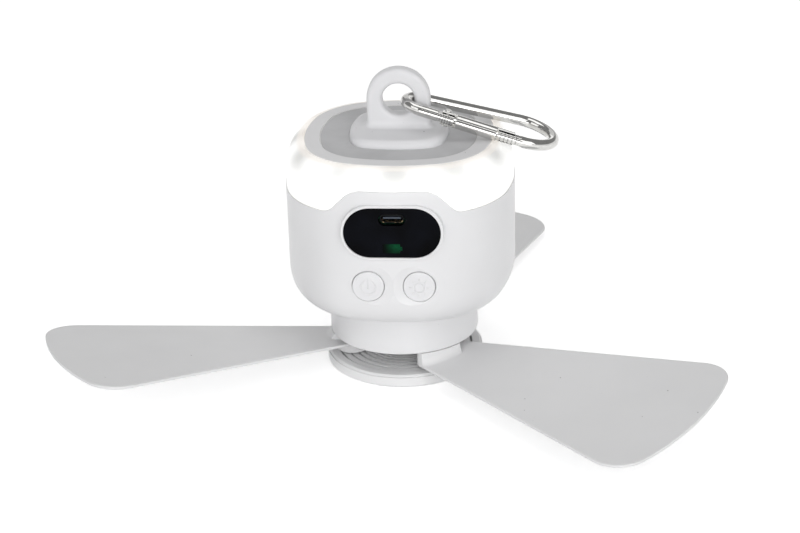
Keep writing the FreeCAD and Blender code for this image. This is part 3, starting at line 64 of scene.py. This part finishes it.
# Name, place and size in metres, power in watts
LAMPS = [
    ("front", (0.25, -1.60, 0.27), 1.4, 0.4, 6.3),
    ("key_left", (-0.75, -1.10, 0.95), 1.0, 1.0, 3.8),
    ("key_right", (0.75, -1.10, 0.95), 1.0, 1.0, 4.8),
    ("top", (0.0, 0.05, 1.60), 1.0, 1.0, 4.2),
    ("back", (-0.20, 1.35, 0.80), 1.0, 1.0, 1.6),
]

# Camera at the photograph's angle: sensor and lens in millimetres, place in metres, turn as a quaternion
SENSOR_WIDTH = 36.0
LENS = 90.0
CAMERA_PLACE = (0.06408634, -0.7325102, 0.36515353)
CAMERA_TURN = (0.8379608875, 0.5441985315, 0.0319025756, 0.0255291009)

# Main colours
SHELL = (0.815, 0.815, 0.825)
COVER = (0.76, 0.76, 0.775)
BLADE = (0.82, 0.82, 0.825)
LABEL = (0.60, 0.60, 0.61)
BUTTON = (0.80, 0.80, 0.815)
# The disc is paler than the shell: painted light, making up for light its ridges under the collar do not
# get
DISC = (0.88, 0.88, 0.885)
# Painted highlight: the pale colour mixed into edges
EDGE_HIGHLIGHT = (0.93, 0.93, 0.935)

cam_data = bpy.data.cameras.new("photo_camera")
cam = bpy.data.objects.new("photo_camera", cam_data)
bpy.context.scene.collection.objects.link(cam)
cam_data.sensor_width = SENSOR_WIDTH
cam_data.sensor_fit = "HORIZONTAL"
cam_data.lens = LENS
cam_data.clip_start, cam_data.clip_end = 0.05, 20.0
cam.rotation_mode = "QUATERNION"
cam.location = CAMERA_PLACE
cam.rotation_quaternion = Quaternion(CAMERA_TURN)
bpy.context.scene.camera = cam


# Materials
class Mat:
    """Small helper round one node-based material in object coordinates."""

    def __init__(self, name):
        self.material = bpy.data.materials.new(name)
        self.material.use_nodes = True
        self.tree = self.material.node_tree
        self.shader = self.tree.nodes["Principled BSDF"]
        self.coord = self.tree.nodes.new("ShaderNodeTexCoord").outputs["Object"]
        self.soft = None

    def new(self, kind):
        return self.tree.nodes.new(kind)

    def link(self, a, b):
        self.tree.links.new(a, b)
        return b

    def set(self, socket, value):
        if hasattr(value, "is_linked"):
            self.link(value, socket)
        elif isinstance(value, (tuple, list)) and len(value) == 3 and len(socket.default_value) == 4:
            socket.default_value = tuple(value) + (1.0,)
        else:
            socket.default_value = value

    def put(self, **values):
        for k, v in values.items():
            self.set(self.shader.inputs[k.replace("_", " ")], v)
        return self

    def stretched(self, x, y, z):
        n = self.new("ShaderNodeMapping")
        n.inputs["Scale"].default_value = (x, y, z)
        self.link(self.coord, n.inputs["Vector"])
        return n.outputs["Vector"]

    def noise(self, scale, detail=3.0):
        n = self.new("ShaderNodeTexNoise")
        n.inputs["Scale"].default_value = scale
        n.inputs["Detail"].default_value = detail
        self.link(self.coord, n.inputs["Vector"])
        return n.outputs["Fac"]

    def spots(self, scale, radius, share, coord=None):
        """1 inside small round spots, of which only a share of the cells has one."""
        n = self.new("ShaderNodeTexVoronoi")
        n.inputs["Scale"].default_value = scale
        self.link(coord or self.coord, n.inputs["Vector"])
        near = self.math("LESS_THAN", n.outputs["Distance"], radius)
        pick = self.new("ShaderNodeSeparateColor")
        self.link(n.outputs["Color"], pick.inputs["Color"])
        chosen = self.math("LESS_THAN", pick.outputs["Red"], share)
        return self.math("MULTIPLY", near, chosen)

    def math(self, op, a, b=None, c=None):
        n = self.new("ShaderNodeMath")
        n.operation = op
        for i, v in enumerate((a, b, c)):
            if v is not None:
                self.set(n.inputs[i], v)
        return n.outputs[0]

    def axis(self, name):
        n = self.new("ShaderNodeSeparateXYZ")
        self.link(self.coord, n.inputs["Vector"])
        return n.outputs[name]

    def span(self, value, low, high, out_low=0.0, out_high=1.0, smooth=True):
        """Map a value from one range to another, held at the ends."""
        n = self.new("ShaderNodeMapRange")
        n.interpolation_type = "SMOOTHSTEP" if smooth else "LINEAR"
        self.set(n.inputs["From Min"], low)
        self.set(n.inputs["From Max"], high)
        self.set(n.inputs["To Min"], out_low)
        self.set(n.inputs["To Max"], out_high)
        self.link(value, n.inputs["Value"])
        return n.outputs["Result"]

    def near(self, value, centre, half, soft):
        """1 where a value lies within half of a centre, falling to 0 over soft."""
        off = self.math("ABSOLUTE", self.math("SUBTRACT", value, centre))
        return self.span(off, half + soft, half)

    def ramp(self, value, stops):
        n = self.new("ShaderNodeValToRGB")
        e = n.color_ramp.elements
        while len(e) < len(stops):
            e.new(0.5)
        for el, (pos, col) in zip(e, stops):
            el.position = pos
            el.color = tuple(col) + (1.0,)
        self.link(value, n.inputs["Fac"])
        return n.outputs["Color"]

    def mix(self, fac, a, b):
        n = self.new("ShaderNodeMix")
        n.data_type = "RGBA"
        self.set(n.inputs[0], fac)
        self.set(n.inputs[6], a)
        self.set(n.inputs[7], b)
        return n.outputs[2]

    def soften(self, radius):
        """Round the look of sharp edges by a radius in metres."""
        n = self.new("ShaderNodeBevel")
        n.samples = 4
        n.inputs["Radius"].default_value = radius
        self.soft = n.outputs["Normal"]
        self.link(self.soft, self.shader.inputs["Normal"])
        return self

    def edge(self, low=0.015, high=0.12):
        """1 along edges, where the softened normal leaves the true one; soften() comes first."""
        geo = self.new("ShaderNodeNewGeometry")
        dot = self.new("ShaderNodeVectorMath")
        dot.operation = "DOT_PRODUCT"
        self.link(self.soft, dot.inputs[0])
        self.link(geo.outputs["Normal"], dot.inputs[1])
        return self.span(self.math("SUBTRACT", 1.0, dot.outputs["Value"]), low, high)

    def crevice_shade(self, reach, low=0.35, high=0.85):
        """1 deep in narrow gaps and grooves, where shade falls: a mask for painted shade."""
        n = self.new("ShaderNodeAmbientOcclusion")
        n.samples = 4
        n.only_local = True
        n.inputs["Distance"].default_value = reach
        return self.span(n.outputs["AO"], high, low)

    def bump(self, height, strength, distance):
        n = self.new("ShaderNodeBump")
        n.inputs["Strength"].default_value = strength
        n.inputs["Distance"].default_value = distance
        self.link(height, n.inputs["Height"])
        if self.soft is not None:
            self.link(self.soft, n.inputs["Normal"])
        self.link(n.outputs["Normal"], self.shader.inputs["Normal"])
        return self

    def color(self, socket):
        self.link(socket, self.shader.inputs["Base Color"])
        return self

    def rough(self, value, low, high):
        self.link(self.span(value, 0.3, 0.7, low, high, smooth=False), self.shader.inputs["Roughness"])
        return self


def shade(col, k):
    return tuple(c * k for c in col)


def moulded_body(name, col, specks, soft):
    """Start of a white moulded plastic: slow tone drift, a few small dark specks, and a painted
    highlight along the edges.
    """
    m = Mat(name)
    base = m.ramp(m.noise(35.0, 2.0), [(0.3, shade(col, 0.97)), (0.7, col)])
    dots = m.math("MULTIPLY", m.spots(SPECK_CELLS, SPECK_RADIUS, specks), 0.75)
    base = m.mix(dots, base, shade(col, 0.22))
    dust = m.math("MULTIPLY", m.spots(DUST_CELLS, DUST_RADIUS, specks), 0.30)
    base = m.mix(dust, base, shade(col, 0.6))
    m.soften(soft)
    # Painted highlight: edges lightened in patches, for the light that catches the rims
    patchy_highlight = m.math("MULTIPLY", m.edge(), m.span(m.noise(240.0, 3.0), 0.25, 0.6, 0.35, 0.9))
    return m, m.mix(patchy_highlight, base, EDGE_HIGHLIGHT)


def moulded(name, col, low, high, specks, spec=0.4, soft=0.4 * MM):
    m, base = moulded_body(name, col, specks, soft)
    m.color(base)
    m.rough(m.noise(160.0, 4.0), low, high)
    m.bump(m.noise(2600.0, 2.0), 0.05, 0.1 * MM)
    m.put(Specular_IOR_Level=spec)
    return m.material


def shell_material():
    """White housing, a little glossier than the other mouldings."""
    m, base = moulded_body("shell_white", SHELL, 0.03, 0.5 * MM)
    m.color(base)
    m.rough(m.noise(160.0, 4.0), 0.28, 0.36)
    m.bump(m.noise(2400.0, 2.0), 0.05, 0.1 * MM)
    m.put(Specular_IOR_Level=0.45)
    return m.material


def cover_material():
    """Cover plate and loop: satin grey-white, with a painted glow where the light ring shines into the
    lower rim: lighter colour and a faint emission.
    """
    m, base = moulded_body("cover_white", COVER, 0.10, 0.4 * MM)
    x, y, z = m.axis("X"), m.axis("Y"), m.axis("Z")
    # Painted glow: the rim near the cover's lower edge is lightened and emits a little
    low = m.span(z, COVER_Z + 0.2 * MM, COVER_Z - 0.7 * MM)
    far = m.math("MAXIMUM", m.math("ABSOLUTE", x), m.math("ABSOLUTE", y))
    lip = m.math("MULTIPLY", low, m.span(far, LIP_INNER, LIP_OUTER))
    m.color(m.mix(lip, base, (0.93, 0.92, 0.90)))
    m.put(Emission_Color=(1.0, 0.97, 0.92), Emission_Strength=m.math("MULTIPLY", lip, 0.18))
    m.rough(m.noise(160.0, 4.0), 0.34, 0.44)
    m.bump(m.noise(2200.0, 2.0), 0.06, 0.1 * MM)
    m.put(Specular_IOR_Level=0.4)
    return m.material


def blade_material():
    """Satin blade: fine grain, and a few faint scuffs drawn out along X."""
    m, base = moulded_body("blade_white", BLADE, 0.05, 0.3 * MM)
    scuff = m.spots(60.0, 0.02, 0.25, m.stretched(0.5, 9.0, 9.0))
    base = m.mix(m.math("MULTIPLY", scuff, 0.10), base, (0.95, 0.95, 0.95))
    m.color(base)
    m.rough(m.noise(120.0, 4.0), 0.40, 0.52)
    m.bump(m.noise(2000.0, 2.0), 0.05, 0.1 * MM)
    m.put(Specular_IOR_Level=0.32)
    return m.material


def metal(name, col, low, high):
    """Metal with tone drift and fine marks."""
    m = Mat(name)
    m.put(Metallic=1.0)
    m.color(m.ramp(m.noise(900.0, 4.0), [(0.3, shade(col, 0.9)), (0.75, col)]))
    m.rough(m.noise(360.0), low, high)
    m.bump(m.noise(1530.0, 2.0), 0.04, 0.05 * MM)
    return m.material


def simple(name, col, low, high):
    """Plain inner piece: tone drift and a fine grain."""
    m = Mat(name)
    m.put(Specular_IOR_Level=0.4)
    m.color(m.ramp(m.noise(400.0), [(0.3, shade(col, 0.85)), (0.7, col)]))
    m.rough(m.noise(200.0), low, high)
    m.bump(m.noise(1200.0), 0.05, 0.1 * MM)
    return m.material


def glow_material():
    """Milky ring lit from inside: grey dips between the lights, close to the cover."""
    m = Mat("diffuser_milk")
    z = m.axis("Z")
    close = m.span(z, DIP_LOW, DIP_HIGH)
    turn = m.math("ARCTAN2", m.axis("Y"), m.axis("X"))
    between = m.math("SINE", m.math("MULTIPLY_ADD", turn, LIGHT_GROUPS, DIP_PHASE))
    spread = m.math("MULTIPLY_ADD", m.noise(45.0, 1.0), 3.0, between)
    dips = m.math("MULTIPLY", close, m.span(spread, 0.6, 3.0))
    line = m.span(z, LINE_LOW, LINE_HIGH)
    m.color(m.ramp(m.noise(60.0), [(0.3, (0.80, 0.80, 0.79)), (0.7, (0.83, 0.83, 0.82))]))
    glow = m.mix(dips, (1.0, 1.0, 0.985), (0.20, 0.20, 0.18))
    glow = m.mix(m.math("MULTIPLY", line, 0.6), glow, (0.75, 0.62, 0.50))
    seam = m.span(z, SEAM_Z + 0.6 * MM, SEAM_Z)
    glow = m.mix(m.math("MULTIPLY", seam, 0.5), glow, (0.80, 0.78, 0.62))
    m.link(glow, m.shader.inputs["Emission Color"])
    m.put(Emission_Strength=0.42, Specular_IOR_Level=0.35)
    m.rough(m.noise(200.0), 0.3, 0.4)
    m.bump(m.noise(1800.0), 0.03, 0.1 * MM)
    return m.material


def label_material():
    """Bare label ring: matt grey with soft tone changes."""
    m = Mat("label_grey")
    m.color(m.ramp(m.noise(70.0, 2.0), [(0.35, shade(LABEL, 0.90)), (0.65, LABEL)]))
    m.rough(m.noise(300.0), 0.5, 0.62)
    m.bump(m.noise(3000.0), 0.04, 0.05 * MM)
    m.put(Specular_IOR_Level=0.25)
    return m.material


def window_material():
    """Black window with a faint bluish tone."""
    m = Mat("window_black")
    tone = m.noise(70.0, 2.0)
    m.color(m.ramp(tone, [(0.35, (0.0006, 0.0007, 0.0010)), (0.7, (0.0035, 0.0042, 0.0075))]))
    m.rough(m.noise(300.0), 0.12, 0.2)
    m.put(Specular_IOR_Level=0.045)
    return m.material


def indicator_material():
    """Green cell behind the window, brightest at its right end and fading to the left."""
    m = Mat("indicator_green")
    right = m.span(m.axis("X"), -3.6 * MM, 2.2 * MM)
    up = m.span(m.axis("Z"), INDICATOR_Z - 1.6 * MM, INDICATOR_Z + 1.2 * MM, 0.45, 1.0)
    patchy = m.span(m.noise(800.0), 0.2, 0.8, 0.6, 1.0)
    light = m.math("MULTIPLY", m.math("MULTIPLY", right, up), patchy)
    m.color(m.mix(light, (0.0012, 0.0022, 0.0022), (0.004, 0.075, 0.028)))
    m.rough(m.noise(300.0), 0.25, 0.35)
    m.put(Specular_IOR_Level=0.04)
    return m.material


def socket_material():
    """Dark receptacle: painted warm glints in patches along the lower inner edge, paler tongue."""
    m = Mat("socket_steel")
    z = m.axis("Z")
    x = m.axis("X")
    level = m.near(z, SOCKET_Z, TONGUE_HALF_HIGH, TONGUE_SOFT)
    tongue = m.math("MULTIPLY", level, m.near(x, 0.0, TONGUE_HALF_WIDE, TONGUE_SOFT))
    # Painted highlight: warm glints in patches on the lower inner edge, where the light falls
    patchy_highlight = m.span(m.noise(900.0, 2.0), 0.50, 0.62)
    lower = m.span(z, SOCKET_Z - 0.4 * MM, SOCKET_Z - 1.2 * MM)
    glint = m.math("MULTIPLY", patchy_highlight, lower)
    base = m.mix(glint, (0.012, 0.012, 0.013), (0.42, 0.32, 0.17))
    m.color(m.mix(tongue, base, (0.07, 0.085, 0.11)))
    m.rough(m.noise(500.0), 0.3, 0.45)
    m.put(Metallic=m.math("SUBTRACT", 0.7, m.math("MULTIPLY", tongue, 0.7)), Specular_IOR_Level=0.2)
    m.bump(m.noise(2500.0), 0.05, 0.05 * MM)
    return m.material


def chrome_material():
    """Bright plating: slight unevenness, a painted highlight along the edges, and painted shade in
    narrow gaps and grooves.
    """
    m = Mat("hook_chrome")
    m.put(Metallic=1.0)
    m.soften(0.15 * MM)
    base = m.ramp(m.noise(500.0, 3.0), [(0.3, (0.60, 0.595, 0.58)), (0.7, (0.70, 0.695, 0.68))])
    # Painted highlight: paler along the edges
    base = m.mix(m.math("MULTIPLY", m.edge(), 0.5), base, (0.85, 0.85, 0.86))
    # Painted shade: near black in narrow gaps and grooves
    m.color(m.mix(m.crevice_shade(0.9 * MM), base, (0.035, 0.033, 0.03)))
    m.rough(m.noise(350.0, 4.0), 0.03, 0.08)
    m.bump(m.noise(1100.0, 3.0), 0.05, 0.05 * MM)
    return m.material


steel = metal("screw_steel", (0.55, 0.56, 0.58), 0.2, 0.35)
chrome = chrome_material()
blade = blade_material()
button = moulded("button_white", BUTTON, 0.34, 0.44, 0.03, soft=0.25 * MM)
PAINT = {
    "lower_shell": shell_material(),
    "light_diffuser": glow_material(),
    "top_cover": cover_material(),
    "label_ring": label_material(),
    "window_lens": window_material(),
    "battery_indicator": indicator_material(),
    "charge_socket": socket_material(),
    "power_button": button,
    "light_button": button,
    "main_board": simple("board_green", (0.03, 0.16, 0.08), 0.3, 0.5),
    "led_board": simple("light_board_white", (0.75, 0.75, 0.72), 0.3, 0.5),
    "led_chips": simple("chip_yellow", (0.80, 0.62, 0.16), 0.3, 0.5),
    "button_switches": simple("switch_black", (0.03, 0.03, 0.033), 0.3, 0.5),
    "board_screws": steel,
    "frame_screws": steel,
    "cover_screws": steel,
    "motor_screws": steel,
    "hub_screws": steel,
    "blade_pins": steel,
    "disc_screw": steel,
    "mid_frame": simple("frame_white", (0.7, 0.7, 0.7), 0.4, 0.6),
    "battery_cells": simple("cell_wrap", (0.05, 0.16, 0.42), 0.2, 0.35),
    "battery_cradle": simple("cradle_grey", (0.32, 0.33, 0.35), 0.4, 0.6),
    "motor_base": metal("base_metal", (0.62, 0.63, 0.64), 0.3, 0.45),
    "bearing_tube": metal("tube_brass", (0.72, 0.53, 0.22), 0.25, 0.4),
    "bearings": metal("bearing_steel", (0.6, 0.6, 0.62), 0.15, 0.3),
    "stator_core": metal("core_steel", (0.30, 0.31, 0.33), 0.35, 0.5),
    "stator_coils": metal("coil_copper", (0.72, 0.30, 0.12), 0.25, 0.4),
    "rotor_collar": moulded("collar_white", SHELL, 0.30, 0.38, 0.03, 0.45),
    "rotor_disc": moulded("disc_white", DISC, 0.34, 0.44, 0.03),
    "motor_bell": metal("bell_steel", (0.55, 0.56, 0.58), 0.2, 0.35),
    "ring_magnet": simple("magnet_dark", (0.05, 0.05, 0.055), 0.5, 0.7),
    "motor_shaft": metal("shaft_steel", (0.6, 0.6, 0.62), 0.12, 0.25),
    "pivot_washers": metal("washer_steel", (0.6, 0.6, 0.62), 0.2, 0.35),
    "snap_hook": chrome,
    "snap_gate": chrome,
    "gate_pin": chrome,
    "gate_spring": metal("spring_steel", (0.45, 0.45, 0.47), 0.25, 0.4),
    "blade_1": blade,
    "blade_2": blade,
    "blade_3": blade,
}
for name, mat in PAINT.items():
    node = NODES[name]
    if not node.material_slots:
        node.data.materials.append(mat)
    for slot in node.material_slots:
        slot.material = mat


# Floor and lights
def shown(tree):
    """1 for camera, glossy and transmission rays, 0 for all others."""
    path = tree.nodes.new("ShaderNodeLightPath")
    last = path.outputs["Is Camera Ray"]
    for kind in ("Is Glossy Ray", "Is Transmission Ray"):
        n = tree.nodes.new("ShaderNodeMath")
        n.operation = "MAXIMUM"
        tree.links.new(last, n.inputs[0])
        tree.links.new(path.outputs[kind], n.inputs[1])
        last = n.outputs[0]
    return last


def floor():
    bm = bmesh.new()
    bmesh.ops.create_grid(bm, x_segments=2, y_segments=2, size=FLOOR_HALF)
    mesh = bpy.data.meshes.new("floor")
    bm.to_mesh(mesh)
    bm.free()
    obj = bpy.data.objects.new("floor", mesh)
    bpy.context.scene.collection.objects.link(obj)
    obj.location = (0, 0, -FLOOR_DROP)
    m = Mat("floor_white")
    m.color(m.ramp(m.noise(3.0), [(0.2, (0.955, 0.955, 0.955)), (0.8, (0.965, 0.965, 0.965))]))
    m.put(Roughness=0.9, Specular_IOR_Level=0.0, Emission_Color=(1.0, 1.0, 1.0))
    m.put(Emission_Strength=m.math("MULTIPLY", shown(m.tree), FLOOR_LIFT))
    mesh.materials.append(m.material)


def area(name, place, wide, high, power):
    data = bpy.data.lights.new(name, "AREA")
    data.shape = "RECTANGLE"
    data.size = wide
    data.size_y = high
    data.energy = power
    obj = bpy.data.objects.new(name, data)
    bpy.context.scene.collection.objects.link(obj)
    obj.location = place
    back = Vector(place) - Vector(AIM)
    obj.rotation_mode = "QUATERNION"
    obj.rotation_quaternion = back.to_track_quat("Z", "Y")


def world():
    """A plain studio: white walls low down, grey ceiling above them."""
    w = bpy.data.worlds.new("studio")
    bpy.context.scene.world = w
    w.use_nodes = True
    t = w.node_tree
    t.nodes.clear()
    coord = t.nodes.new("ShaderNodeTexCoord")
    sep = t.nodes.new("ShaderNodeSeparateXYZ")
    t.links.new(coord.outputs["Generated"], sep.inputs["Vector"])
    room = t.nodes.new("ShaderNodeMapRange")
    room.interpolation_type = "SMOOTHSTEP"
    room.inputs["From Min"].default_value = math.sin(WALL_TOP)
    room.inputs["From Max"].default_value = math.sin(CEILING_LOW)
    room.inputs["To Min"].default_value = 1.0
    room.inputs["To Max"].default_value = CEILING
    t.links.new(sep.outputs["Z"], room.inputs["Value"])
    lit = t.nodes.new("ShaderNodeBackground")
    lit.inputs["Color"].default_value = (1.0, 1.0, 1.0, 1.0)
    t.links.new(room.outputs["Result"], lit.inputs["Strength"])
    out = t.nodes.new("ShaderNodeOutputWorld")
    t.links.new(lit.outputs["Background"], out.inputs["Surface"])


floor()
world()
for lamp in LAMPS:
    area(*lamp)

bpy.context.scene.view_settings.view_transform = "Standard"
